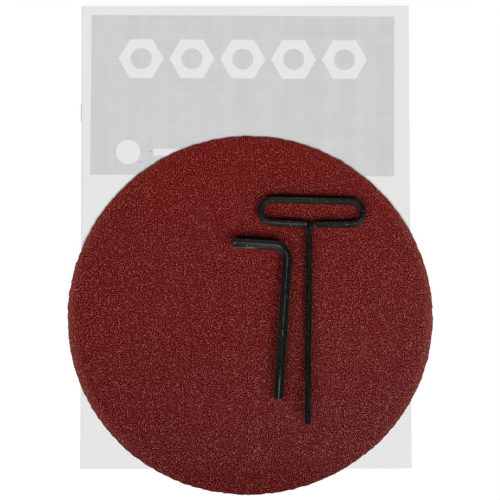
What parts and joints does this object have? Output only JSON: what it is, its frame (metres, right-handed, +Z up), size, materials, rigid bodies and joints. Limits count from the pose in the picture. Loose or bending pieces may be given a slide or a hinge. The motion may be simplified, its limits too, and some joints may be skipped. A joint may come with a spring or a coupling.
{
  "type": "sander accessory kit",
  "caption": "Sander accessory kit laid flat: stapled manual, round self-adhesive abrasive disc on it, L hex key and loop-handled hex key on the disc; each lifts off.",
  "frame": {"origin": "on the bench surface, under the middle of the box round the whole layout", "axes": "+X to the right with the manual's spine on the left, +Y towards the head of the manual, +Z up"},
  "size_m": [0.23, 0.3142, 0.0116],
  "materials": {
    "cover_paper": "matte",
    "page_paper": "matte",
    "staple_wire": "satin",
    "liner_paper": "satin",
    "adhesive": "gloss",
    "backing_cloth": "matte",
    "abrasive": "matte",
    "black_steel": "satin"
  },
  "bodies": {
    "booklet": {"back_cover": "cover_paper", "sheet_1": "page_paper", "sheet_2": "page_paper", "sheet_3": "page_paper", "sheet_4": "page_paper", "sheet_5": "page_paper", "sheet_6": "page_paper", "sheet_7": "page_paper", "staples": "staple_wire"},
    "cover_leaf": {"front_cover": "cover_paper"},
    "liner": {"release_liner": "liner_paper"},
    "sanding_disc": {"adhesive_film": "adhesive", "cloth_backing": "backing_cloth", "abrasive_coat": "abrasive"},
    "l_key": {"l_hex_key": "black_steel"},
    "loop_key": {"loop_hex_key": "black_steel"}
  },
  "joints": [
    {"name": "cover_hinge", "type": "hinge", "parent": "booklet", "child": "cover_leaf", "pos_m": [-0.10645, 0.0086, 0.0023], "axis": [0, -1, 0], "range_deg": [0, 15]},
    {"name": "disc_lift", "type": "slide", "parent": "cover_leaf", "child": "liner", "axis": [0, 0, 1], "range_m": [0, 0.05]},
    {"name": "liner_peel", "type": "slide", "parent": "liner", "child": "sanding_disc", "axis": [0, 0, 1], "range_m": [0, 0.05]},
    {"name": "l_key_lift", "type": "slide", "parent": "sanding_disc", "child": "l_key", "axis": [0, 0, 1], "range_m": [0, 0.05]},
    {"name": "loop_key_lift", "type": "slide", "parent": "sanding_disc", "child": "loop_key", "axis": [0, 0, 1], "range_m": [0, 0.05]}
  ]
}
